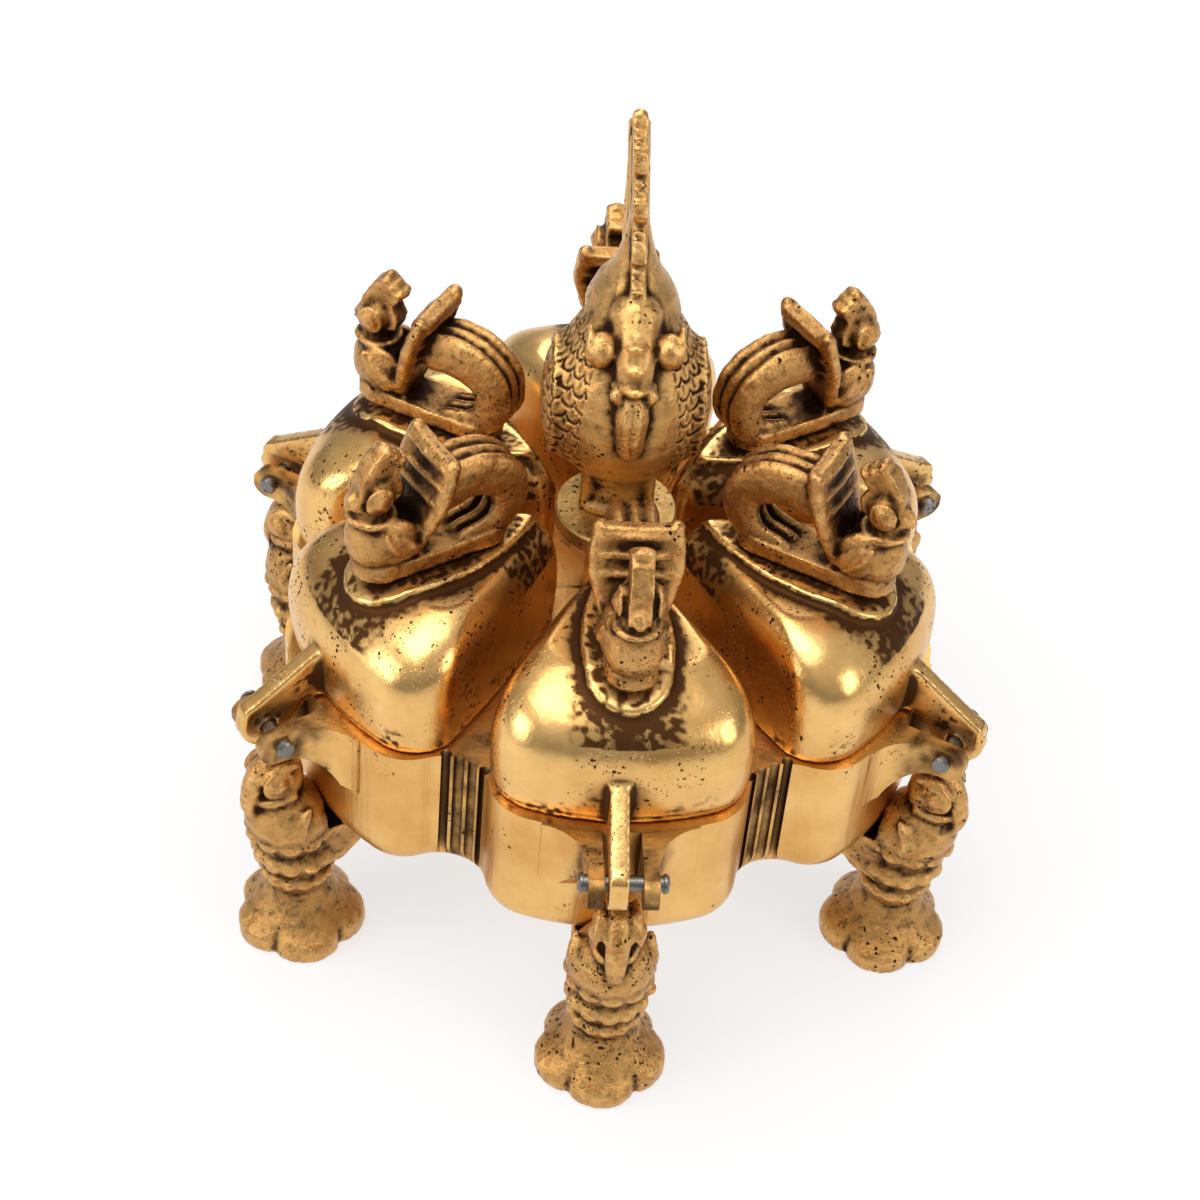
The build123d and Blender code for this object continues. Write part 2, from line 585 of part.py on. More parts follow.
# Leg, drawn once: toed foot, waisted neck, banded collar, bird's head, and a spur under the tray
with BuildPart() as leg:
    with BuildSketch(Plane.XY):
        with Locations((foot_u, 0)):
            Circle(foot_r * 0.86)
            with PolarLocations(foot_r * 0.52, foot_toes):
                Circle(foot_r * 0.48)
    extrude(amount=foot_rim_height)
    with BuildSketch(Plane.XZ):
        with BuildLine():
            axis_u = foot_u
            Line((axis_u, foot_rim_height - 1), (axis_u + foot_r - 1.6, foot_rim_height - 1))
            Line((axis_u + foot_r - 1.6, foot_rim_height - 1),
                 (axis_u + foot_r - 2.2, foot_rim_height + 1.2))
            ThreePointArc((axis_u + foot_r - 2.2, foot_rim_height + 1.2),
                          (axis_u + neck_r + 1.9, neck_z - 4.4), (axis_u + neck_r, neck_z))
            Polyline((axis_u + neck_r, neck_z), (axis_u + neck_r, neck_z + 3), (axis_u, neck_z + 3),
                     (axis_u, foot_rim_height - 1))
        make_face()
    revolve(axis=Axis((foot_u, 0, 0), (0, 0, 1)))
    lean_dir = (sin(radians(leg_lean)), 0, cos(radians(leg_lean)))
    outward = (cos(radians(leg_lean)), 0, -sin(radians(leg_lean)))
    torso = Plane(origin=(foot_u + 0.4, 0, neck_z), x_dir=outward, z_dir=(0, -1, 0))
    torso_height = collar_top_z - neck_z
    with BuildSketch(torso):
        with BuildLine():
            band_height = torso_height * 0.78 / collar_bands
            edge = [(neck_r - 0.2, 0.4)]
            for k in range(collar_bands):
                edge.append((collar_r - 0.8 + 0.2 * k, 1.6 + (k + 1) * band_height))
            Line((0, 0.4), edge[0])
            for low, high in zip(edge, edge[1:]):
                middle = ((low[0] + high[0]) / 2 + 0.9, (low[1] + high[1]) / 2)
                ThreePointArc(low, middle, high)
            ThreePointArc(edge[-1], (collar_r * 0.78, torso_height * 0.93), (0, torso_height + 1.2))
            Line((0, torso_height + 1.2), (0, 0.4))
        make_face()
    revolve(axis=Axis((foot_u + 0.4, 0, neck_z), lean_dir))
    with BuildSketch(Plane.XY.offset(base_z)):
        with Locations((lobe_reach + wall_fit, 0)):
            Rectangle(2 * foot_r, 4 * foot_r, align=(Align.MAX, Align.CENTER))
    extrude(amount=collar_top_z, mode=Mode.SUBTRACT)
    with BuildSketch(Plane.XZ):
        with BuildLine():
            Polyline((leg_head_u - 5.4, collar_top_z - 6), (leg_head_u - 5.0, leg_head_z + 3.4))
            Spline((leg_head_u - 5.0, leg_head_z + 3.4), (leg_head_u - 0.4, leg_head_z + 6.4),
                   (leg_head_u + 3.8, leg_head_z + 2.6), (leg_beak_u + 1.0, leg_beak_z + 2.4),
                   (leg_beak_u - 0.6, leg_beak_z))
            Polyline((leg_beak_u - 0.6, leg_beak_z), (leg_head_u + 0.6, collar_top_z - 3.4),
                     (leg_head_u - 5.4, collar_top_z - 6))
        make_face()
    extrude(amount=2.3, both=True)
    with Locations((leg_head_u - 1.2, 0, leg_head_z)):
        Sphere(leg_head_r)
    with Locations((leg_head_u + 1.4, leg_head_r - 1.2, leg_head_z),
                   (leg_head_u + 1.4, 1.2 - leg_head_r, leg_head_z)):
        Sphere(2.0)
    with BuildSketch(Plane.XZ):
        with BuildLine():
            Polyline((foot_u, spur_root_z), (foot_u, base_z), (spur_inner_u, base_z),
                     (spur_inner_u, base_z - 3.6), (foot_u - 7, spur_root_z), (foot_u, spur_root_z))
        make_face()
    extrude(amount=spur_width / 2, both=True)
    with BuildSketch(Plane.XY.offset(spur_root_z - 2)):
        with Locations((rivet_u, 0)):
            Circle(rivet_r + rivet_clearance)
    extrude(amount=base_z - spur_root_z + 4, mode=Mode.SUBTRACT)
for where, angle in LOBES.items():
    with BuildPart() as placed_leg:
        add(at_lobe(leg.part, angle))
    finish(placed_leg, f"leg_{where}")

# Rivets that hold the legs' spurs to the tray's floor, one through each cup
with BuildPart() as leg_rivets:
    for angle in LOBES.values():
        centre = polar(rivet_u, angle)
        low = base_z - 4.2
        with BuildSketch(Plane.XY.offset(low - rivet_head_height)):
            with Locations(centre):
                Circle(rivet_r)
        extrude(amount=base_z + cup_floor - low + rivet_head_height)
        with BuildSketch(Plane.XY.offset(base_z + cup_floor)):
            with Locations(centre):
                Circle(rivet_head_r)
        extrude(amount=rivet_head_height, taper=30)
finish(leg_rivets, "leg_rivets")
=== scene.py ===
import bmesh
import bpy
import math
import numpy as np
from mathutils import Matrix, Vector, noise


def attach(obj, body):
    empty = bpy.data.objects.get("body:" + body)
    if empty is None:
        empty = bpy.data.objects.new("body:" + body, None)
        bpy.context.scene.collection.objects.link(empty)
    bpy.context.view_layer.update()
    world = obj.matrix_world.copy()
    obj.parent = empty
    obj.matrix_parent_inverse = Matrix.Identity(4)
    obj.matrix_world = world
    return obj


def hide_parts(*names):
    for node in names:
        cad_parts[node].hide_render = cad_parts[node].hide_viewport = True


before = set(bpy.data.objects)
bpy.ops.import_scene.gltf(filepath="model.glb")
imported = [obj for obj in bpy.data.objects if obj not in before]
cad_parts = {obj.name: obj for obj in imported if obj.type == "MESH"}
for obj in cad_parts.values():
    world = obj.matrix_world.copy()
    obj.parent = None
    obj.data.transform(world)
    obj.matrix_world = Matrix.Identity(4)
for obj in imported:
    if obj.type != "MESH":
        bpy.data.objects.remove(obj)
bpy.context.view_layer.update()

# The view: one long lens from above the front lobe, a little from the left, as the box was shown.
# Its place and turn come from the hinge pins, feet and lid seams seen in the photograph.
camera_place = Vector((-0.042915, -0.405229, 0.433314))
camera_yaw, camera_pitch, camera_roll = 0.102, 0.740, 0.097
ahead = Vector((math.sin(camera_yaw) * math.cos(camera_pitch),
                math.cos(camera_yaw) * math.cos(camera_pitch),
                -math.sin(camera_pitch)))
level_right = Vector((math.cos(camera_yaw), -math.sin(camera_yaw), 0))
level_up = level_right.cross(ahead)
camera_right = math.cos(camera_roll) * level_right + math.sin(camera_roll) * level_up
camera_up = -math.sin(camera_roll) * level_right + math.cos(camera_roll) * level_up
lens = bpy.data.cameras.new("camera")
lens.sensor_width = 36.0
lens.lens = 78.02
camera = bpy.data.objects.new("camera", lens)
camera.matrix_world = Matrix((
    (camera_right.x, camera_up.x, -ahead.x, camera_place.x),
    (camera_right.y, camera_up.y, -ahead.y, camera_place.y),
    (camera_right.z, camera_up.z, -ahead.z, camera_place.z),
    (0, 0, 0, 1),
))
bpy.context.scene.collection.objects.link(camera)
bpy.context.scene.camera = camera


# Tray: one brass casting with six petal cups, ribbed valleys and twelve hinge lugs.
# It is filed and polished by hand on its walls; dark casting skin and painted shade from an
# occlusion node darken its corners.
def put(tree, kind, inputs=None, **settings):
    """Adds a node, gives it its settings, and sets or links its inputs by name or number."""
    node = tree.nodes.new(kind)
    for key, value in settings.items():
        setattr(node, key, value)
    for key, value in (inputs or {}).items():
        if isinstance(value, bpy.types.NodeSocket):
            tree.links.new(value, node.inputs[key])
        else:
            node.inputs[key].default_value = value
    return node


def new_group(name, inputs, outputs):
    """An empty shader group with named sockets; gives the tree and its two end nodes."""
    tree = bpy.data.node_groups.new(name, "ShaderNodeTree")
    for label, kind, value in inputs:
        socket = tree.interface.new_socket(label, in_out="INPUT", socket_type=kind)
        socket.default_value = value
    for label, kind in outputs:
        tree.interface.new_socket(label, in_out="OUTPUT", socket_type=kind)
    return tree, tree.nodes.new("NodeGroupInput").outputs, tree.nodes.new("NodeGroupOutput").inputs


FLOAT, COLOUR = "NodeSocketFloat", "NodeSocketColor"

# Casting skin: fine grain, and pin holes that come in patches, as sand-cast brass has them
skin_group, given, result = new_group(
    "casting_skin",
    [("Grain Scale", FLOAT, 900.0), ("Pit Scale", FLOAT, 1700.0), ("Pit Share", FLOAT, 0.5),
     ("Grain Depth", FLOAT, 0.3)],
    [("Height", FLOAT), ("Pits", FLOAT)])
place = put(skin_group, "ShaderNodeTexCoord").outputs["Object"]
grain = put(skin_group, "ShaderNodeTexNoise",
            {"Vector": place, "Scale": given["Grain Scale"], "Detail": 5.0, "Roughness": 0.62})
ragged = put(skin_group, "ShaderNodeTexNoise", {"Vector": place, "Scale": 1500.0, "Detail": 2.0})
hole_raggedness, widest_hole, patch_fade = 0.0007, 0.42, 0.12
ragged_shift = put(skin_group, "ShaderNodeVectorMath",
                   {0: ragged.outputs["Color"], 1: (hole_raggedness,) * 3}, operation="MULTIPLY")
ragged_place = put(skin_group, "ShaderNodeVectorMath",
                   {0: place, 1: ragged_shift.outputs[0]}, operation="ADD")
holes = put(skin_group, "ShaderNodeTexVoronoi", {"Vector": ragged_place.outputs[0],
                                                  "Scale": given["Pit Scale"], "Randomness": 1.0})
hole_size = put(skin_group, "ShaderNodeSeparateColor", {0: holes.outputs["Color"]})
hole_reach = put(skin_group, "ShaderNodeMath", {0: hole_size.outputs[0], 1: widest_hole},
                 operation="MULTIPLY")
hole_mask = put(skin_group, "ShaderNodeMapRange",
                {"Value": holes.outputs["Distance"], "From Min": 0.02,
                 "From Max": hole_reach.outputs[0], "To Min": 1.0, "To Max": 0.0})
patches = put(skin_group, "ShaderNodeTexNoise", {"Vector": place, "Scale": 85.0, "Detail": 3.0})
patch_low = put(skin_group, "ShaderNodeMath", {0: 0.78, 1: given["Pit Share"]},
                operation="SUBTRACT")
patch_high = put(skin_group, "ShaderNodeMath", {0: patch_low.outputs[0], 1: patch_fade},
                 operation="ADD")
patch_mask = put(skin_group, "ShaderNodeMapRange",
                 {"Value": patches.outputs["Fac"], "From Min": patch_low.outputs[0],
                  "From Max": patch_high.outputs[0]})
pits = put(skin_group, "ShaderNodeMath", {0: hole_mask.outputs[0], 1: patch_mask.outputs[0]},
           operation="MULTIPLY")
grain_height = put(skin_group, "ShaderNodeMath",
                   {0: grain.outputs["Fac"], 1: given["Grain Depth"]}, operation="MULTIPLY")
height = put(skin_group, "ShaderNodeMath", {0: grain_height.outputs[0], 1: pits.outputs[0]},
             operation="SUBTRACT")
skin_group.links.new(height.outputs[0], result["Height"])
skin_group.links.new(pits.outputs[0], result["Pits"])

# Tarnish: bright metal where hands and buffing reach, brown where they do not; the wear fed in also
# carries painted shade for most finishes
tarnish_group, given, result = new_group(
    "tarnish",
    [("Wear", FLOAT, 1.0), ("Pits", FLOAT, 0.0), ("Bright", COLOUR, (0.83, 0.52, 0.19, 1)),
     ("Warm", COLOUR, (0.62, 0.33, 0.10, 1)), ("Dark", COLOUR, (0.10, 0.045, 0.018, 1)),
     ("Cloud Scale", FLOAT, 60.0), ("Cloud Depth", FLOAT, 0.3), ("Smooth", FLOAT, 0.25),
     ("Rough", FLOAT, 0.6)],
    [("Color", COLOUR), ("Roughness", FLOAT)])
place = put(tarnish_group, "ShaderNodeTexCoord").outputs["Object"]
clouds = put(tarnish_group, "ShaderNodeTexNoise",
             {"Vector": place, "Scale": given["Cloud Scale"], "Detail": 6.0, "Roughness": 0.65})
cloud_shift = put(tarnish_group, "ShaderNodeMath", {0: clouds.outputs["Fac"], 1: 0.5},
                  operation="SUBTRACT")
cloud_part = put(tarnish_group, "ShaderNodeMath",
                 {0: cloud_shift.outputs[0], 1: given["Cloud Depth"]}, operation="MULTIPLY")
worn = put(tarnish_group, "ShaderNodeMath", {0: given["Wear"], 1: cloud_part.outputs[0]},
           operation="ADD")
clean = put(tarnish_group, "ShaderNodeMath", {0: worn.outputs[0], 1: given["Pits"]},
            operation="SUBTRACT", use_clamp=True)
tint = put(tarnish_group, "ShaderNodeMapRange", {"Value": clouds.outputs["Fac"], "From Min": 0.35,
                                                  "From Max": 0.68})
metal = put(tarnish_group, "ShaderNodeMix", {"Factor": tint.outputs[0], 6: given["Bright"],
                                             7: given["Warm"]}, data_type="RGBA")
cover = put(tarnish_group, "ShaderNodeMapRange", {"Value": clean.outputs[0], "From Min": 0.12,
                                                   "From Max": 0.72})
cover.interpolation_type = "SMOOTHSTEP"
shown = put(tarnish_group, "ShaderNodeMix", {"Factor": cover.outputs[0], 6: given["Dark"],
                                             7: metal.outputs[2]}, data_type="RGBA")
rough_span = put(tarnish_group, "ShaderNodeMapRange",
                 {"Value": clean.outputs[0], "From Min": 0.1, "From Max": 0.8,
                  "To Min": given["Rough"], "To Max": given["Smooth"]})
tarnish_group.links.new(shown.outputs[2], result["Color"])
tarnish_group.links.new(rough_span.outputs[0], result["Roughness"])


def brass(name, wear, bright, warm, dark, smooth, rough, pit_share, grain_depth, cloud_depth,
          bump_distance, streak=0.0, cloud_scale=60.0, grain_scale=900.0):
    """A cast brass finish. wear makes the socket that says how far each place is buffed, and how far
    painted shade darkens it.
    """
    finish = bpy.data.materials.new(name)
    finish.use_nodes = True
    tree = finish.node_tree
    shader = tree.nodes["Principled BSDF"]
    shader.inputs["Metallic"].default_value = 1.0
    skin = put(tree, "ShaderNodeGroup", node_tree=skin_group)
    skin.inputs["Pit Share"].default_value = pit_share
    skin.inputs["Grain Depth"].default_value = grain_depth
    skin.inputs["Grain Scale"].default_value = grain_scale
    colour = put(tree, "ShaderNodeGroup", node_tree=tarnish_group)
    for label, value in (("Bright", (*bright, 1)), ("Warm", (*warm, 1)), ("Dark", (*dark, 1)),
                         ("Smooth", smooth), ("Rough", rough), ("Cloud Depth", cloud_depth),
                         ("Cloud Scale", cloud_scale)):
        colour.inputs[label].default_value = value
    tree.links.new(wear(tree), colour.inputs["Wear"])
    tree.links.new(skin.outputs["Pits"], colour.inputs["Pits"])
    tree.links.new(colour.outputs["Color"], shader.inputs["Base Color"])
    tree.links.new(colour.outputs["Roughness"], shader.inputs["Roughness"])
    height = skin.outputs["Height"]
    if streak:
        place = put(tree, "ShaderNodeTexCoord").outputs["Object"]
        along = put(tree, "ShaderNodeMapping", {"Vector": place, "Scale": (1.0, 1.0, 0.06)})
        files = put(tree, "ShaderNodeTexNoise",
                    {"Vector": along.outputs[0], "Scale": 1400.0, "Detail": 3.0})
        marks = put(tree, "ShaderNodeMath", {0: files.outputs["Fac"], 1: streak},
                    operation="MULTIPLY")
        height = put(tree, "ShaderNodeMath", {0: height, 1: marks.outputs[0]},
                     operation="ADD").outputs[0]
    bump = put(tree, "ShaderNodeBump", {"Height": height, "Strength": 1.0,
                                        "Distance": bump_distance})
    tree.links.new(bump.outputs[0], shader.inputs["Normal"])
    return finish


def wear_and_corner_shade(tree):
    """Wear of the tray with painted shade: low in corners and between the ribs of its valleys, where
    an occlusion node finds them, high elsewhere.
    """
    corner = put(tree, "ShaderNodeAmbientOcclusion", {"Distance": 0.006}, samples=12,
                 only_local=True)
    opened = put(tree, "ShaderNodeMapRange", {"Value": corner.outputs["AO"], "From Min": 0.42,
                                              "From Max": 0.86})
    return opened.outputs[0]


def use(finish, *nodes):
    """Gives CAD nodes a finish in place of the plain one they were packed with."""
    for node in nodes:
        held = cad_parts[node].data.materials
        held.clear()
        held.append(finish)


def tray_wear_and_shade(tree):
    """The tray's wear: painted shade in its corners, and brown stains round the lugs and down the
    ribbed valleys.
    """
    lugs_start, lugs_full = 0.0685, 0.0740
    stain_strength = 3.4
    spot = put(tree, "ShaderNodeSeparateXYZ", {0: put(tree, "ShaderNodeTexCoord").outputs["Object"]})
    x, y = spot.outputs["X"], spot.outputs["Y"]
    bearing = put(tree, "ShaderNodeMath", {0: y, 1: x}, operation="ARCTAN2")
    six_times = put(tree, "ShaderNodeMath", {0: bearing.outputs[0], 1: 6.0}, operation="MULTIPLY")
    valley = put(tree, "ShaderNodeMath", {0: six_times.outputs[0]}, operation="COSINE")
    in_valley = put(tree, "ShaderNodeMapRange", {"Value": valley.outputs[0], "From Min": 0.86,
                                                 "From Max": 0.97, "To Max": 0.30})
    out_x = put(tree, "ShaderNodeMath", {0: x, 1: x}, operation="MULTIPLY")
    out_xy = put(tree, "ShaderNodeMath", {0: y, 1: y, 2: out_x.outputs[0]}, operation="MULTIPLY_ADD")
    out = put(tree, "ShaderNodeMath", {0: out_xy.outputs[0]}, operation="SQRT")
    at_lug = put(tree, "ShaderNodeMapRange", {"Value": out.outputs[0], "From Min": lugs_start,
                                              "From Max": lugs_full, "To Max": 0.34})
    stain = put(tree, "ShaderNodeMath", {0: in_valley.outputs[0], 1: at_lug.outputs[0]},
                operation="MAXIMUM")
    blotch = put(tree, "ShaderNodeTexNoise",
                 {"Vector": put(tree, "ShaderNodeTexCoord").outputs["Object"], "Scale": 170.0,
                  "Detail": 4.0})
    ragged_stain = put(tree, "ShaderNodeMath", {0: stain.outputs[0], 1: blotch.outputs["Fac"]},
                       operation="MULTIPLY")
    deep = put(tree, "ShaderNodeMath", {0: ragged_stain.outputs[0], 1: stain_strength},
               operation="MULTIPLY")
    left = put(tree, "ShaderNodeMath", {0: wear_and_corner_shade(tree), 1: deep.outputs[0]},
               operation="SUBTRACT")
    return left.outputs[0]


GOLD, HONEY, UMBER = (0.86, 0.53, 0.19), (0.68, 0.36, 0.10), (0.085, 0.035, 0.012)
tray_brass = brass("tray_brass", tray_wear_and_shade, GOLD, HONEY, UMBER, smooth=0.33, rough=0.6,
                   pit_share=0.22, grain_depth=0.16, cloud_depth=0.5, bump_distance=0.00014,
                   streak=0.6)
use(tray_brass, "body")


# Legs: six brass castings, each a bird's head over banded collars on a five-toed foot.
# They are modelled in wax balls and threads, cast, and riveted under the tray by a spur.
def ball(wax, centre, radii, tilt=0.0):
    """A lump of wax: centre and radii in mm, tilted about its second axis."""
    made = bmesh.ops.create_uvsphere(wax, u_segments=20, v_segments=12, radius=1)["verts"]
    where = Matrix.Translation(centre) @ Matrix.Rotation(tilt, 4, "Y") @ Matrix.Diagonal((*radii, 1))
    bmesh.ops.transform(wax, matrix=where, verts=made)


def smooth_path(points, closed=False, steps=6):
    """A soft line through a few points, in steps between each two of them."""
    known = [Vector(p) for p in points]
    count = len(known)
    spans = count if closed else count - 1
    line = []
    for i in range(spans):
        a, b = known[(i - 1) % count], known[i]
        c, d = known[(i + 1) % count], known[(i + 2) % count]
        if not closed:
            a = known[max(i - 1, 0)]
            d = known[min(i + 2, count - 1)]
        for k in range(steps):
            s = k / steps
            line.append((b * 2 + (c - a) * s + (a * 2 - b * 5 + c * 4 - d) * s * s
                         + (b * 3 - a - c * 3 + d) * s ** 3) / 2)
    if not closed:
        line.append(known[-1])
    return line


def bridge(wax, rings):
    """Joins each ring of wax points to the next with a band of faces."""
    for low, high in zip(rings, rings[1:]):
        for k in range(len(low)):
            j = (k + 1) % len(low)
            wax.faces.new((low[k], low[j], high[j], high[k]))


def thread(wax, points, radii, wide=1.0, closed=False, across=(0, 1, 0)):
    """A wax thread through points, with a radius at each, stretched by wide along across."""
    line = smooth_path(points, closed)
    loose_end = 0 if closed else 1
    sides = 12
    rings = []
    for i, here in enumerate(line):
        before = line[i - 1] if i or closed else here
        after = line[(i + 1) % len(line)] if i + 1 < len(line) or closed else here
        heading = (after - before).normalized()
        side = Vector(across) - heading * heading.dot(Vector(across))
        if side.length < 0.3:
            side = Vector((1, 0, 0)) - heading * heading.x
        side.normalize()
        up = heading.cross(side)
        share = i / (len(line) - loose_end) * (len(radii) - loose_end)
        low = int(share) % len(radii)
        high = (low + 1) % len(radii) if closed else min(low + 1, len(radii) - 1)
        r = radii[low] + (radii[high] - radii[low]) * (share - int(share))
        rings.append([wax.verts.new(here + side * (r * wide * math.cos(k * math.tau / sides))
                                    + up * (r * math.sin(k * math.tau / sides)))
                      for k in range(sides)])
    bridge(wax, rings + rings[:1] if closed else rings)
    if not closed:
        wax.faces.new(rings[0][::-1])
        wax.faces.new(rings[-1])
        for end, r in ((line[0], radii[0]), (line[-1], radii[-1])):
            round_end, flat_end = (r * 0.98,) * 3, (r * 0.9, r * wide, r * 0.9)
            ball(wax, end, round_end if wide == 1 else flat_end)


def ring(wax, centre, size, r, normal="Y"):
    """A closed ring of wax thread with two half sizes, flat to one axis."""
    first, second = {"X": (1, 2), "Y": (0, 2), "Z": (0, 1)}[normal]
    steps = 10
    points = []
    for k in range(steps):
        turn = k * math.tau / steps
        point = list(centre)
        point[first] += size[0] * math.cos(turn)
        point[second] += size[1] * math.sin(turn)
        points.append(point)
    thread(wax, points, [r] * steps, closed=True, across=[axis == normal for axis in "XYZ"])


def sheet_of(wax, outline, half, normal="Y", middle=0.0):
    """A flat piece cut from sheet wax: its outline, and half its thickness along one axis."""
    axis = "XYZ".index(normal)
    low, high = [[wax.verts.new((*p[:axis], middle + shift, *p[axis:])) for p in outline]
                 for shift in (-half, half)]
    wax.faces.new(low[::-1])
    wax.faces.new(high)
    for i in range(len(outline)):
        j = (i + 1) % len(outline)
        wax.faces.new((low[i], low[j], high[j], high[i]))


def turned(wax, levels, centre=(0, 0), lobes=0, lean=0.0, squash_t=1.0):
    """A turned form: height, radius and lobe depth at each level, its axis leaning outwards."""
    sides, lobe_roundness = 60, 0.6
    rings = []
    for z, r, depth in levels:
        row = []
        for k in range(sides):
            a = k * math.tau / sides
            between = 1 - abs(math.cos(lobes * a / 2)) ** lobe_roundness
            reach = r * (1 - depth * between) if lobes else r
            row.append(wax.verts.new((centre[0] + math.tan(lean) * (z - levels[0][0])
                                      + reach * math.cos(a),
                                      centre[1] + squash_t * reach * math.sin(a), z)))
        rings.append(row)
    wax.faces.new(rings[0][::-1])
    wax.faces.new(rings[-1])
    bridge(wax, rings)


# Beads pressed on a line, evenly spaced: the line is a curve, the tree makes the beads
bead_tree = bpy.data.node_groups.new("beads_on_line", "GeometryNodeTree")
for label, kind, value in (("Geometry", "NodeSocketGeometry", None), ("Count", "NodeSocketInt", 12),
                           ("Bead Size", "NodeSocketVector", (1, 1, 1)),
                           ("Finish", "NodeSocketMaterial", None)):
    socket = bead_tree.interface.new_socket(label, in_out="INPUT", socket_type=kind)
    if value is not None:
        socket.default_value = value
bead_tree.interface.new_socket("Geometry", in_out="OUTPUT", socket_type="NodeSocketGeometry")
bead_in = bead_tree.nodes.new("NodeGroupInput").outputs
bead_out = bead_tree.nodes.new("NodeGroupOutput").inputs
spaced = put(bead_tree, "GeometryNodeResampleCurve", {"Curve": bead_in["Geometry"],
                                                      "Count": bead_in["Count"]})
bead = put(bead_tree, "GeometryNodeMeshIcoSphere", {"Radius": 1.0, "Subdivisions": 2})
facing = put(bead_tree, "FunctionNodeAlignEulerToVector",
             {"Vector": put(bead_tree, "GeometryNodeInputTangent").outputs[0]}, axis="X")
beads = put(bead_tree, "GeometryNodeInstanceOnPoints",
            {"Points": spaced.outputs[0], "Instance": bead.outputs[0], "Scale": bead_in["Bead Size"],
             "Rotation": facing.outputs[0]})
real = put(bead_tree, "GeometryNodeRealizeInstances", {0: beads.outputs[0]})
dressed = put(bead_tree, "GeometryNodeSetMaterial", {"Geometry": real.outputs[0],
                                                     "Material": bead_in["Finish"]})
bead_tree.links.new(dressed.outputs[0], bead_out["Geometry"])


def press_beads(wax, points, count, size, finish, closed=True):
    """Runs the bead tree along a line and presses the beads into the wax."""
    curve = bpy.data.curves.new("bead_line", "CURVE")
    curve.dimensions = "3D"
    spline = curve.splines.new("POLY")
    spline.points.add(len(points) - 1)
    for slot, p in zip(spline.points, points):
        slot.co = (*p, 1)
    spline.use_cyclic_u = closed
    line = bpy.data.objects.new("bead_line", curve)
    bpy.context.scene.collection.objects.link(line)
    run = line.modifiers.new("beads", "NODES")
    run.node_group = bead_tree
    names = {s.name: s.identifier for s in bead_tree.interface.items_tree if s.in_out == "INPUT"}
    run[names["Count"]] = count
    run[names["Bead Size"]] = size
    run[names["Finish"]] = finish
    seen = line.evaluated_get(bpy.context.evaluated_depsgraph_get())
    wax.from_mesh(bpy.data.meshes.new_from_object(seen))
    bpy.data.objects.remove(line)


def circle_line(centre, r, z, steps=36):
    """Points round an upright axis."""
    return [(centre[0] + r * math.cos(k * math.tau / steps),
             centre[1] + r * math.sin(k * math.tau / steps), z) for k in range(steps)]


def melt(wax, name, voxel, passes):
    """Fuses the wax into one skin and softens it; gives a mesh in mm."""
    rough_mesh = bpy.data.meshes.new(name)
    wax.to_mesh(rough_mesh)
    wax.free()
    lump = bpy.data.objects.new(name, rough_mesh)
    bpy.context.scene.collection.objects.link(lump)
    fuse = lump.modifiers.new("fuse", "REMESH")
    fuse.mode = "VOXEL"
    fuse.voxel_size = voxel
    soften = lump.modifiers.new("soften", "SMOOTH")
    soften.factor = 0.5
    soften.iterations = passes
    seen = lump.evaluated_get(bpy.context.evaluated_depsgraph_get())
    skin = bpy.data.meshes.new_from_object(seen)
    bpy.data.objects.remove(lump)
    return skin


def points_of(skin):
    """Places and outward directions of a mesh's points."""
    points = np.empty(len(skin.vertices) * 3, np.float32)
    skin.vertices.foreach_get("co", points)
    out = np.empty(len(skin.vertices) * 3, np.float32)
    skin.vertex_normals.foreach_get("vector", out)
    return points.reshape(-1, 3).astype(float), out.reshape(-1, 3).astype(float)


def move_points(skin, points):
    """Puts a mesh's points at new places."""
    skin.vertices.foreach_set("co", points.astype(np.float32).ravel())
    skin.update()


def read_wear(skin, passes, span):
    """Marks how far each point stands proud of its softened surroundings, 0 to 1 over span mm."""
    points, out = points_of(skin)
    ends = np.empty(len(skin.edges) * 2, np.int64)
    skin.edges.foreach_get("vertices", ends)
    a, b = ends[0::2], ends[1::2]
    count = np.bincount(ends, minlength=len(points)).astype(float)[:, None]
    soft = points.copy()
    for _ in range(passes):
        total = np.empty_like(soft)
        for axis in range(3):
            total[:, axis] = (np.bincount(a, soft[b, axis], len(points))
                              + np.bincount(b, soft[a, axis], len(points)))
        soft = 0.5 * soft + 0.5 * total / count
    proud = ((points - soft) * out).sum(1)
    mark = skin.attributes.new("wear", "FLOAT", "POINT")
    mark.data.foreach_set("value", np.clip(0.5 + proud / span, 0, 1).astype(np.float32))


def set_piece(skin, name, angle, body, finish, node, knocks):
    """Turns a copy of a skin to its lobe, roughens it by knocks in mm, and puts it on its body."""
    own = skin.copy()
    own.name = name
    own.transform(Matrix.Rotation(math.radians(angle), 4, "Z") @ Matrix.Scale(0.001, 4))
    points, out = points_of(own)
    broad, fine, lowest = 260, 620, 0.00002
    wave = np.array([noise.noise(Vector(p) * broad) + 0.5 * noise.noise(Vector(p) * fine)
                     for p in points])
    points += out * (wave[:, None] * knocks * 0.001)
    points[:, 2] = np.maximum(points[:, 2], lowest)
    move_points(own, points)
    own.shade_smooth()
    own.materials.append(finish)
    piece = bpy.data.objects.new(name, own)
    bpy.context.scene.collection.objects.link(piece)
    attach(piece, body)
    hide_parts(node)


def marked_wear_and_shade(tree):
    """Wear as the piece's own points carry it; on the lids they also carry painted shade."""
    return put(tree, "ShaderNodeAttribute", attribute_name="wear").outputs["Fac"]


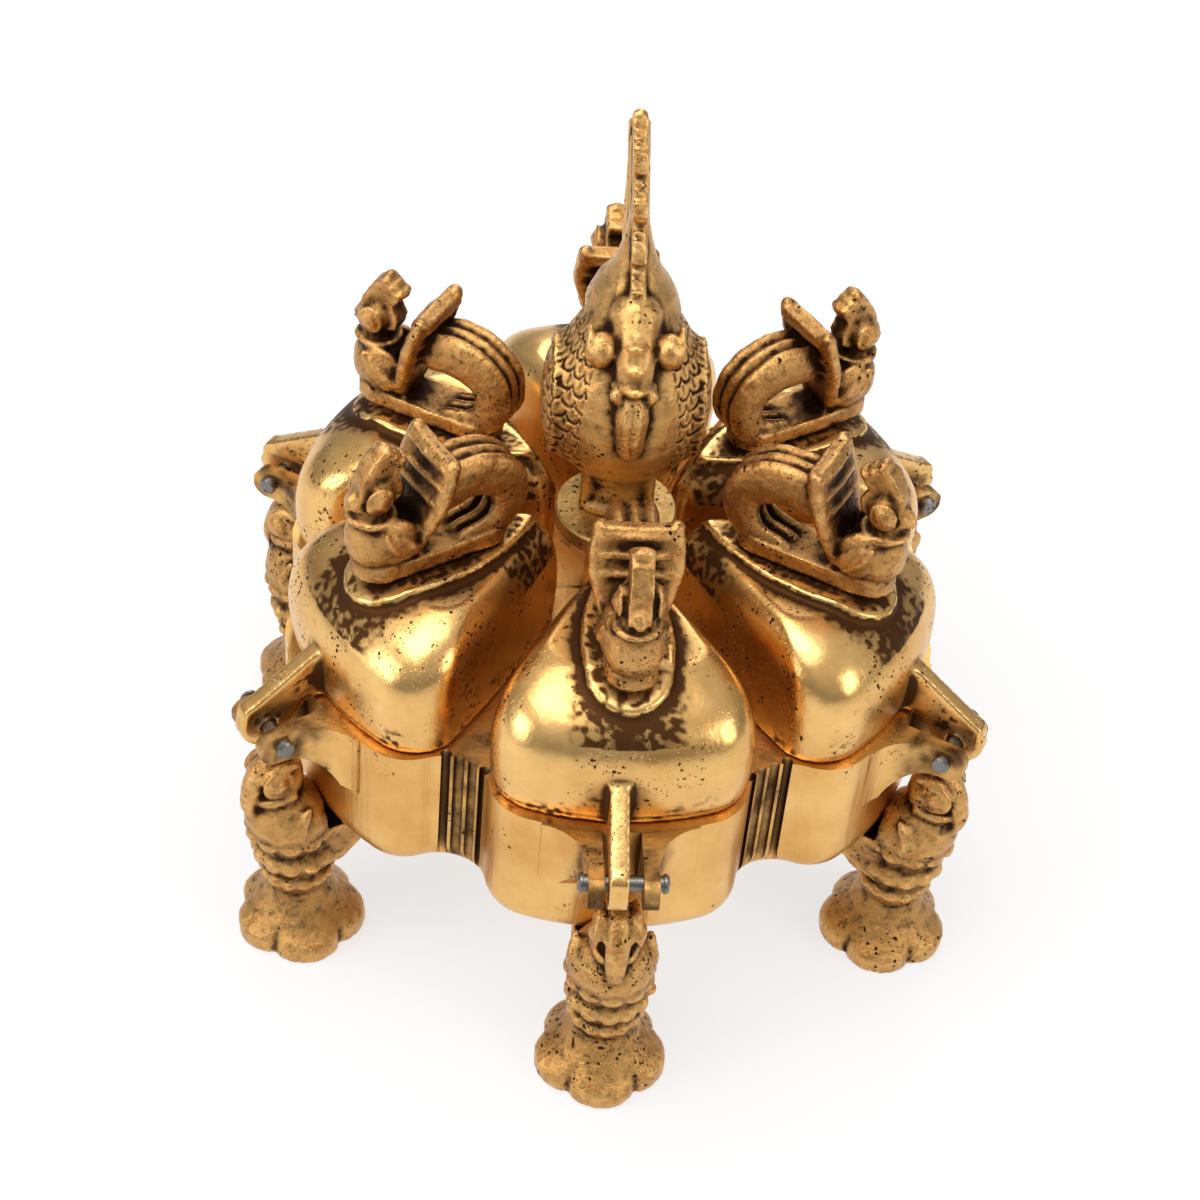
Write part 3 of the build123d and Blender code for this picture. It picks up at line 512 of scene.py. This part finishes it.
def shaded_wear(tree):
    """Wear as the points carry it, taken down by painted shade where an occlusion node finds hollows
    and parts under the tray, together with the unbuffed skin where hands cannot reach.
    """
    hidden = put(tree, "ShaderNodeAmbientOcclusion", {"Distance": 0.007}, samples=10,
                 only_local=True)
    painted_shade = put(tree, "ShaderNodeMapRange", {"Value": hidden.outputs["AO"], "From Min": 0.30,
                                            "From Max": 0.88, "To Min": 0.62, "To Max": 0.0})
    left = put(tree, "ShaderNodeMath", {0: marked_wear_and_shade(tree), 1: painted_shade.outputs[0]},
               operation="SUBTRACT")
    return left.outputs[0]


# The six lobes, and where each points, in degrees from +X. Legs, lids and birds are drawn in mm,
# with X (u) outwards and Y (t) sideways, and then turned to their lobe.
LOBES = {"front": -90, "front_right": -30, "back_right": 30, "back": 90, "back_left": 150,
         "front_left": 210}

# The legs' finish takes painted shade in their hollows from the occlusion node in shaded_wear.
leg_brass = brass("leg_brass", shaded_wear, bright=(0.80, 0.46, 0.155), warm=(0.43, 0.20, 0.058),
                  dark=(0.046, 0.019, 0.008), smooth=0.27, rough=0.62, pit_share=0.30,
                  grain_depth=1.2, cloud_depth=1.5, bump_distance=0.00026, cloud_scale=420.0,
                  grain_scale=1100.0)
foot_u, lean = 73.0, math.radians(7)
body_u, body_low = foot_u + 0.4, 14.5
tray_low, wall_u, spur_u = 32.5, 69.7, 55.2
wax = bmesh.new()
# Toed foot, then the leaning body with its collars, and the beads round them
turned(wax, [(0, 13.2, 0.16), (0.6, 13.8, 0.17), (3.6, 13.8, 0.17), (4.5, 13.2, 0.15),
             (5.6, 12.0, 0.08), (7.2, 10.2, 0.02), (9.6, 8.2, 0.0), (12.2, 6.9, 0.0),
             (14.6, 6.3, 0.0), (17.0, 6.3, 0.0)], (foot_u, 0), lobes=5)
turned(wax, [(body_low, 6.3, 0), (16.4, 7.3, 0), (18.6, 7.6, 0), (20.0, 6.8, 0), (21.2, 6.9, 0),
             (22.8, 8.0, 0), (25.6, 8.2, 0), (27.2, 7.2, 0), (28.6, 7.5, 0), (31.0, 8.6, 0),
             (35.0, 8.9, 0), (38.4, 8.0, 0), (41.0, 6.2, 0), (42.6, 4.2, 0)],
       (body_u, 0), lean=lean)
for z, r, count, size in ((18.2, 7.5, 14, (1.5, 0.7, 1.3)), (24.3, 8.1, 12, (1.9, 0.8, 1.9)),
                          (31.4, 8.7, 11, (2.2, 0.75, 1.3))):
    band = circle_line((body_u + math.tan(lean) * (z - body_low), 0), r, z)
    press_beads(wax, band, count, size, leg_brass)
# On each side three feathers, an eye in its ring, and a brow
for side in (-1, 1):
    for k in range(3):
        thread(wax, [(74.5 + k * 1.4, side * (7.4 - 0.6 * k), 41 - k),
                     (76.5 + k * 1.5, side * (8.3 - 0.8 * k), 37),
                     (76.0 + k * 1.8, side * (8.4 - 1.0 * k), 33.6)], [0.8, 1.0, 0.7])
    ball(wax, (80.0, side * 3.9, 48.2), (2.5, 1.9, 2.5))
    ring(wax, (79.8, side * 4.3, 48.2), (3.0, 3.0), 0.55)
    thread(wax, [(75.4, side * 3.6, 51.4), (79.6, side * 3.4, 52.0), (83.0, side * 2.2, 48.6)],
           [0.9, 1.0, 0.8])
# Head, beak, the flat crest behind it, and the cord under the beak
ball(wax, (77.4, 0, 46.6), (5.0, 4.9, 6.0))
thread(wax, [(77.4, 0, 51.4), (80.6, 0, 50.4), (83.2, 0, 46.4), (84.4, 0, 41.8), (84.0, 0, 38.6)],
       [2.3, 2.6, 2.4, 2.0, 1.4], wide=1.05)
sheet_of(wax, [(74.4, 42), (74.6, 50.6), (77.6, 53.2), (80.6, 52.0), (83.8, 47.6), (85.2, 41.8),
               (84.8, 38.0), (83.4, 38.2), (81.4, 42.4)], 1.5)
thread(wax, [(76.5, -4.2, 43.4), (81.4, -3.2, 42.6), (82.6, 0, 42.2), (81.4, 3.2, 42.6),
             (76.5, 4.2, 43.4)], [1.1] * 5, across=(0, 0, 1))
# The spur that lies under the tray
sheet_of(wax, [(73.5, 20.6), (73.5, tray_low), (spur_u, tray_low), (spur_u, 29.2), (60, 27.6),
               (66.2, 22.2)], 7.0)
leg_skin = melt(wax, "leg", voxel=0.46, passes=4)

# Filed flat where it meets the tray's wall, the tray's underside and the table
file_cut, sole_cut, sole = 0.2, 0.25, 0.02
points, out = points_of(leg_skin)
behind = (points[:, 2] > tray_low - file_cut / 2) & (points[:, 0] < wall_u)
points[behind, 0] = wall_u
points[points[:, 2] < sole_cut, 2] = sole
over = (points[:, 0] < wall_u - file_cut) & (points[:, 2] > tray_low - 0.3)
points[over, 2] = tray_low - 0.05
move_points(leg_skin, points)
read_wear(leg_skin, passes=40, span=0.9)
for where, angle in LOBES.items():
    set_piece(leg_skin, f"leg_casting_{where}", angle, "box", leg_brass,
              f"leg_{where}", knocks=0.22)

# Rivets and nut: six brass rivets go through the cups' floors into the legs' spurs, and a brass
# nut under the tray holds the peacock's stud. All are turned and left as made.
# Painted shade from the occlusion node darkens the corners of the rivets and the nut.
rivet_brass = brass("rivet_brass", wear_and_corner_shade, bright=(0.74, 0.46, 0.17), warm=(0.55, 0.31, 0.10),
                    dark=UMBER, smooth=0.32, rough=0.5, pit_share=0.15, grain_depth=0.2,
                    cloud_depth=0.3, bump_distance=0.00008)
use(rivet_brass, "leg_rivets", "finial_nut")

# Lids: six hollow petal castings in brass, each with a raised leaf for its bird and a tongue that
# turns on its pin. Their domes are buffed bright, and brown skin stays round the leaf and low down;
# painted shade darkens the band at the seam and the faces that look down.
lid_brass = brass("lid_brass", marked_wear_and_shade, bright=(0.90, 0.57, 0.215), warm=(0.72, 0.40, 0.125),
                  dark=UMBER, smooth=0.27, rough=0.58, pit_share=0.29, grain_depth=0.16,
                  cloud_depth=0.55, bump_distance=0.00014, streak=0.25, cloud_scale=70.0)
leaf_half, leaf_fade, leaf_low, leaf_inner_u = 8.4, 3.0, 84, 17
seam_high, inside_high, foot_top, foot_fade = 66.2, 66.5, 74, 8
blotch_scale, speck_scale = 0.16, 0.75
for where, angle in LOBES.items():
    shell = bmesh.new()
    shell.from_mesh(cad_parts[f"lid_{where}"].data)
    bmesh.ops.remove_doubles(shell, verts=shell.verts, dist=0.000002)
    unturned = Matrix.Rotation(math.radians(-angle), 4, "Z") @ Matrix.Scale(1000, 4)
    bmesh.ops.transform(shell, matrix=unturned, verts=shell.verts)
    lid_skin = melt(shell, "lid", voxel=0.6, passes=2)
    read_wear(lid_skin, passes=22, span=0.9)
    points, out = points_of(lid_skin)
    u, t, z = points.T
    mark = lid_skin.attributes["wear"]
    wear = np.empty(len(points), np.float32)
    mark.data.foreach_get("value", wear)
    rub = np.array([noise.noise(Vector(p) * blotch_scale + Vector((angle, 0, 0))) for p in points])
    speck = np.array([noise.noise(Vector(p) * speck_scale + Vector((0, angle, 7))) for p in points])
    beside_leaf = np.exp(-(np.maximum(np.abs(t) - leaf_half, 0) / leaf_fade) ** 2)
    beside_leaf *= (z > leaf_low) & (u > leaf_inner_u)
    low_edge = np.clip((foot_top - z) / foot_fade, 0, 1)
    stain = np.clip(rub * 1.8 + 0.2, 0, 1) * np.clip(speck * 2.2 + 0.45, 0, 1)
    wear = 0.62 + (wear - 0.5) * 1.9 - beside_leaf * (0.26 + 0.4 * np.clip(rub, 0, 1))
    # Painted shade: the band below the seam's height, where the lid meets the tray, is darkened.
    wear -= 0.25 * (z < seam_high)
    wear -= 0.75 * low_edge * stain
    wear -= 0.5 * beside_leaf * np.clip(speck * 2.0 + 0.3, 0, 1)
    wear -= 0.30 * np.clip(rub * 3.0 - 0.9, 0, 1) * np.clip(speck * 3.0, 0, 1)
    # Painted shade: faces that look down, above the rim, are darkened.
    wear -= 0.35 * (out[:, 2] < -0.2) * (z > inside_high)
    mark.data.foreach_set("value", np.clip(wear, 0, 1).astype(np.float32))
    set_piece(lid_skin, f"lid_casting_{where}", angle, f"lid_{where}", lid_brass,
              f"lid_{where}", knocks=0.05)

# Hinge pins: six lengths of steel wire through the tray's lugs and the lids' tongues, with both
# ends peened. They are grey, rubbed and a little rusty.
# Painted shade from the occlusion node darkens the pins where other parts close round them.
pin_steel = brass("pin_steel", wear_and_corner_shade, bright=(0.27, 0.26, 0.25), warm=(0.17, 0.15, 0.13),
                  dark=(0.06, 0.045, 0.035), smooth=0.35, rough=0.6, pit_share=0.35,
                  grain_depth=0.4, cloud_depth=0.5, bump_distance=0.0001)
use(pin_steel, *[f"hinge_pin_{where}" for where in LOBES])

# Birds: six brass castings, each a crested bird on a boat-shaped slab with a curled, fluted tail.
# They are modelled in wax as the legs are, and a tang through the lid is peened inside.
# The birds' finish takes painted shade in their hollows from the occlusion node in shaded_wear.
bird_brass = brass("bird_brass", shaded_wear, bright=(0.80, 0.45, 0.15), warm=(0.36, 0.16, 0.048),
                   dark=(0.040, 0.016, 0.007), smooth=0.27, rough=0.62, pit_share=0.28,
                   grain_depth=1.1, cloud_depth=1.5, bump_distance=0.00026, cloud_scale=400.0,
                   grain_scale=1100.0)
slab_low, slab_high = 94.0, 97.6
slab_outer_u, slab_inner_u, slab_half = 55.8, 32.7, 5.2
half_turn = 1.57
slab_edge = [(end_u + slab_half * math.cos(a), slab_half * math.sin(a))
             for end_u, start in ((slab_outer_u, -half_turn), (slab_inner_u, half_turn))
             for a in np.linspace(start, start + 2 * half_turn, 12)]
wax = bmesh.new()
sheet_of(wax, slab_edge, (slab_high - slab_low) / 2, "Z", (slab_high + slab_low) / 2)
# Breast, belly, neck and head, then the flat crest with the beak's line, and the beak
ball(wax, (56.4, 0, 102.6), (6.0, 5.9, 7.2), -0.12)
ball(wax, (54.0, 0, 98.6), (6.6, 5.2, 3.8))
thread(wax, [(57.0, 0, 105.5), (57.4, 0, 109.6), (56.6, 0, 113.4)], [4.4, 3.5, 3.3])
ball(wax, (56.6, 0, 114.4), (4.2, 3.7, 4.4))
sheet_of(wax, [(50.9, 120.4), (54.4, 124.0), (57.6, 122.2), (60.4, 117.6), (60.8, 114.4),
               (62.4, 112.2), (60.0, 110.6), (56.6, 110.6), (52.2, 112.0), (51.6, 114.7),
               (52.8, 117.6)], 2.2)
thread(wax, [(59.4, 0, 114.2), (61.2, 0, 113.0), (62.3, 0, 112.0)], [2.0, 1.6, 1.0])
# On each side an eye in its ring, and a folded wing with three feathers
for side in (-1, 1):
    ball(wax, (57.4, side * 3.5, 113.9), (2.3, 1.6, 2.3))
    ring(wax, (57.3, side * 3.7, 113.9), (2.7, 2.7), 0.42)
    ball(wax, (54.0, side * 4.6, 103.4), (4.8, 2.0, 5.4), 0.35)
    for k in range(3):
        thread(wax, [(57.2 - k * 1.7, side * 6.2, 107.2 - k * 0.9),
                     (55.4 - k * 1.9, side * 6.6, 103.0),
                     (51.8 - k * 1.2, side * 5.8, 99.6 + k * 0.8)], [0.55, 0.75, 0.5])
# Knobs of the crest, the ring round the neck, and the three flutes of the curled tail
for k in range(3):
    ball(wax, (51.6 + k * 1.7, 0, 120.8 + k * 1.3), (1.3, 2.6, 1.1))
ring(wax, (57.2, 0, 108.4), (4.3, 4.2), 0.75, "Z")
tail_line = [(38.5, 96.4), (31.6, 98.0), (28.3, 102.6), (29.2, 108.2), (33.6, 111.4), (38.8, 112.2),
             (43.6, 111.4)]
for t in (-3.1, 0, 3.1):
    thread(wax, [(u, t, z) for u, z in tail_line], [2.4, 3.2, 4.0, 4.6, 5.0, 4.9, 4.4], wide=0.44)
# The leaning plate at the tail's end, ribbed on both faces and rounded at its sides
plate_mid, plate_lean = Vector((46.64, 0, 109.6)), math.radians(-17)
plate = bmesh.new()
sheet_of(plate, [(-7.2, 11.3), (7.2, 11.3), (7.7, 1.7), (4.0, -11.4), (-4.0, -11.4), (-7.7, 1.7)],
         1.7, "X")
for z in (9.4, 5.6, 1.8):
    for face in (1, -1):
        thread(plate, [(face * 1.5, -6.6, z), (face * 1.8, 0, z), (face * 1.5, 6.6, z)],
               [0.7, 0.8, 0.7], across=(1, 0, 0))
for side in (-1, 1):
    thread(plate, [(0, side * 7.1, 10.8), (0, side * 7.5, 2), (0, side * 4.2, -10)], [1.5, 1.6, 1.3])
plate_turn = Matrix.Translation(plate_mid) @ Matrix.Rotation(plate_lean, 4, "Y")
bmesh.ops.transform(plate, matrix=plate_turn, verts=plate.verts)
plate_skin = bpy.data.meshes.new("plate")
plate.to_mesh(plate_skin)
plate.free()
wax.from_mesh(plate_skin)
# The tang through the lid, with its peened end
turned(wax, [(88.0, 3.4, 0), (89.2, 3.4, 0), (89.3, 2.2, 0), (95.0, 2.2, 0)], (43.0, 0))
bird_skin = melt(wax, "bird", voxel=0.42, passes=4)
read_wear(bird_skin, passes=40, span=0.85)
for where, angle in LOBES.items():
    set_piece(bird_skin, f"bird_casting_{where}", angle, f"lid_{where}", bird_brass,
              f"lid_bird_{where}", knocks=0.22)

# Finial disc: a thick brass washer between the tray's boss and the peacock's post,
# turned and left dull, with pits and brown clouds all over.
# Painted shade from the occlusion node darkens the disc where other parts close round it.
disc_brass = brass("disc_brass", wear_and_corner_shade, bright=(0.66, 0.42, 0.145), warm=(0.42, 0.26, 0.085),
                   dark=UMBER, smooth=0.42, rough=0.62, pit_share=0.42, grain_depth=0.8,
                   cloud_depth=1.3, bump_distance=0.00022, cloud_scale=320.0)
use(disc_brass, "finial_disc")

# Peacock: one brass casting with an egg-shaped feathered body, a bowed head and a tall flat
# plume with a scalloped front edge. Its stud goes down through the disc and the tray.
# The peacock's finish takes painted shade in its hollows from the occlusion node in shaded_wear.
peacock_brass = brass("peacock_brass", shaded_wear, bright=(0.92, 0.56, 0.20),
                      warm=(0.52, 0.255, 0.078), dark=(0.048, 0.020, 0.009), smooth=0.25,
                      rough=0.60, pit_share=0.26, grain_depth=1.0, cloud_depth=1.3,
                      bump_distance=0.00024, cloud_scale=400.0, grain_scale=1100.0)
egg_y, post_y, plume_root_y = 3.0, 0.6, 6.5
stud_low, stud_high, stud_radius = 27.2, 90.0, 2.95
wax = bmesh.new()
# Egg, the block and post under it, and the stud
egg = [(96.6, 3.0), (98.0, 7.6), (100.0, 10.6), (103.0, 13.4), (107.0, 15.4), (111.0, 16.4),
       (114.5, 16.6), (119.0, 16.2), (123.5, 15.0), (128.0, 12.9), (132.0, 10.6), (135.5, 8.0),
       (137.6, 5.4), (138.5, 2.4)]
turned(wax, [(z, r, 0) for z, r in egg], (0, egg_y))
sheet_of(wax, [(-7.5, -1.5), (7.5, -1.5), (7.5, 4.5), (-7.5, 4.5)], 7.0, "Z", 95.0)
turned(wax, [(88.05, 8.0, 0), (89.2, 7.8, 0), (91.0, 6.0, 0), (94.5, 5.6, 0), (98.5, 7.0, 0)],
       (0, post_y), squash_t=0.62)
turned(wax, [(stud_low, stud_radius, 0), (stud_high, stud_radius, 0)])
# On each side a wing in its rim, an eye, and the knob beside the crown in its ring
for side in (-1, 1):
    ball(wax, (side * 11.7, egg_y, 114.5), (5.4, 10.8, 14.4))
    ring(wax, (side * 14.7, egg_y, 114.5), (9.4, 12.6), 0.55, "X")
    ball(wax, (side * 3.1, -12.4, 126.0), (1.7, 1.6, 1.9))
    ball(wax, (side * 6.6, -7.4, 133.2), (3.3, 3.4, 3.6))
    ring(wax, (side * 8.9, -6.2, 134.0), (2.6, 3.0), 0.7, "X")
# Bowed head and beak, the flat crest along them, and three cords across the crown
thread(wax, [(0, -1.5, 136.6), (0, -8.0, 131.8), (0, -11.6, 126.0), (0, -13.2, 121.0),
             (0, -13.6, 114.4)], [5.6, 4.4, 2.9, 3.4, 2.7])
sheet_of(wax, [(-1.5, 139.0), (-6.5, 137.0), (-12.0, 130.4), (-15.4, 122.8), (-16.6, 116.6),
               (-15.0, 113.6), (-8.0, 116.0)], 1.1, "X")
for k, z in enumerate((134.6, 130.8, 127.4)):
    thread(wax, [(-3.6, -5.6 - k * 2.6, z), (0, -10.4 - k * 2.2, z + 1.0),
                 (3.6, -5.6 - k * 2.6, z)], [0.9, 1.1, 0.9], across=(0, 0, 1))
# The plume: its root on the egg, a flat blade with four scallops in front, beads along them
scallop_y, scallop_z = 2.98, 8.275
front_edge = []
for k in range(4):
    y0, z0 = -2 + scallop_y * k, 137.5 + scallop_z * k
    front_edge += [(y0 + 0.2, z0 + 0.4), (y0 - 1.2, z0 + 2.6), (y0 - 0.6, z0 + 5.4),
                   (y0 + 2.0, z0 + 7.6)]
turned(wax, [(134.0, 9.6, 0), (138.0, 8.0, 0), (141.0, 6.0, 0), (144.5, 4.2, 0), (149.0, 2.9, 0),
             (154.0, 2.0, 0), (160.0, 1.3, 0)], (0, plume_root_y), squash_t=1.3)
plume = front_edge + [(9.9, 170.4), (11.0, 173.2), (13.2, 173.6), (15.6, 170.6), (15.4, 163.0),
                      (13.4, 154.0), (13.8, 146.0), (16.4, 142.4), (14.8, 130.0), (-2.0, 129.0)]
sheet_of(wax, plume, 1.5, "X")
bead_line = [(0, y + 0.5, z) for y, z in front_edge + [(9.9, 170.4), (12.0, 173.2)]]
press_beads(wax, bead_line, 25, (0.55, 0.9, 1.85), peacock_brass, closed=False)
# The cord that closes the plume behind, and two veins on each face of the blade
thread(wax, [(0, 12.4, 173.0), (0, 16.6, 167.6), (0, 20.6, 160.4), (0, 23.2, 152.4),
             (0, 23.4, 144.6), (0, 19.4, 137.0), (0, 13.6, 130.4)],
       [1.4, 1.6, 1.7, 1.7, 1.8, 2.0, 2.2], across=(1, 0, 0))
for side in (-1, 1):
    thread(wax, [(side * 1.3, 14.8, 170.0), (side * 1.3, 14.2, 162.0), (side * 1.3, 12.2, 154.0),
                 (side * 1.3, 12.6, 146.0), (side * 1.3, 15.4, 141.6)], [0.9] * 5)
    thread(wax, [(side * 1.3, 2.2, 140), (side * 1.3, 6.2, 150), (side * 1.3, 9.2, 160),
                 (side * 1.3, 12.2, 168)], [0.8] * 4)
peacock_skin = melt(wax, "peacock", voxel=0.42, passes=3)

# Feathers cut round the egg in staggered rows, each an arch with a groove up to its middle
points, out = points_of(peacock_skin)
x, y, z = points.T
egg_round, feathers_low, feathers_high, feathers_top_row = 15.5, 99, 134, 137.0
row_high, feather_wide, cut_deep = 3.0, 3.4, 0.42
bare_front, bare_post, bare_back_y = 0.62, 8, 21
around = np.arctan2(x, -(y - egg_y))
row = (feathers_top_row - z) / row_high
across = around * egg_round / feather_wide + 0.5 * (np.floor(row) % 2)
part_row, part_across = row % 1, across % 1 - 0.5
edge = np.abs(part_row - (0.25 + 0.75 * np.sqrt(np.clip(1 - (2 * part_across) ** 2, 0, 1))))
feathered = ((z > feathers_low) & (z < feathers_high) & (np.abs(around) > bare_front)
             & (np.hypot(x, y - egg_y) > bare_post) & (y < bare_back_y))
groove = np.exp(-(edge / 0.13) ** 2) + 0.6 * np.exp(-(part_across / 0.09) ** 2) * (part_row < 0.6)
points -= out * (np.where(feathered, np.clip(groove, 0, 1) * cut_deep, 0.0))[:, None]
# The plume leans a little to the left, more towards its tip
plume_low, plume_tall, tip_shift = 140, 34, 1.4
rising = np.clip((z - plume_low) / plume_tall, 0, 1)
points[:, 0] -= tip_shift * rising ** 1.5
move_points(peacock_skin, points)
read_wear(peacock_skin, passes=30, span=0.7)
set_piece(peacock_skin, "peacock_casting", 0, "box", peacock_brass, "peacock",
          knocks=0.12)

# Studio: a floor of pale paper in a white room, with soft boxes overhead, at both sides and
# behind. The paper glows to the camera and in the brass, so that it stays pale all over.
floor_finish = bpy.data.materials.new("floor_paper")
floor_finish.use_nodes = True
tree = floor_finish.node_tree
paper = tree.nodes["Principled BSDF"]
paper.inputs["Base Color"].default_value = (0.9, 0.9, 0.9, 1)
paper.inputs["Roughness"].default_value = 0.9
ray = put(tree, "ShaderNodeLightPath")
direct = put(tree, "ShaderNodeMath",
             {0: ray.outputs["Is Camera Ray"], 1: ray.outputs["Is Glossy Ray"]}, operation="MAXIMUM")
glow = 0.7
share = put(tree, "ShaderNodeMath", {0: direct.outputs[0], 1: glow}, operation="MULTIPLY")
white = put(tree, "ShaderNodeEmission", {"Color": (1, 1, 1, 1), "Strength": 1.0})
mixed = put(tree, "ShaderNodeMixShader", {0: share.outputs[0], 1: paper.outputs[0],
                                          2: white.outputs[0]})
tree.links.new(mixed.outputs[0], tree.nodes["Material Output"].inputs["Surface"])
floor_mesh = bpy.data.meshes.new("floor")
reach = 3.0
floor_mesh.from_pydata([(-reach, -reach, 0), (reach, -reach, 0), (reach, reach, 0),
                        (-reach, reach, 0)], [], [(0, 1, 2, 3)])
floor_mesh.materials.append(floor_finish)
floor = bpy.data.objects.new("floor", floor_mesh)
bpy.context.scene.collection.objects.link(floor)

world = bpy.data.worlds.new("studio")
bpy.context.scene.world = world
world.use_nodes = True
tree = world.node_tree
ray = put(tree, "ShaderNodeLightPath")
heading = put(tree, "ShaderNodeSeparateXYZ",
              {0: put(tree, "ShaderNodeTexCoord").outputs["Generated"]})
room = put(tree, "ShaderNodeMapRange", {"Value": heading.outputs["Z"], "From Min": 0.0,
                                        "From Max": 0.75, "To Min": 0.16, "To Max": 0.62})
seen = put(tree, "ShaderNodeMath", {0: room.outputs[0], 1: ray.outputs["Is Camera Ray"]},
           operation="MAXIMUM")
tree.links.new(seen.outputs[0], tree.nodes["Background"].inputs["Strength"])
tree.nodes["Background"].inputs["Color"].default_value = (1, 1, 1, 1)
aim = Vector((0, 0, 0.06))
for name, place, size, watts in (("soft_box_top", (-0.15, -0.10, 0.75), 0.50, 3.0),
                                 ("soft_box_left", (-0.75, -0.35, 0.40), 0.45, 2.4),
                                 ("soft_box_right", (0.70, -0.45, 0.45), 0.40, 2.0),
                                 ("soft_box_back", (0.10, 0.75, 0.55), 0.45, 1.8)):
    lamp = bpy.data.lights.new(name, "AREA")
    lamp.shape = "SQUARE"
    lamp.size = size
    lamp.energy = watts
    box = bpy.data.objects.new(name, lamp)
    box.location = place
    box.rotation_euler = (aim - Vector(place)).to_track_quat("-Z", "Y").to_euler()
    bpy.context.scene.collection.objects.link(box)

bpy.context.scene.view_settings.view_transform = "Standard"
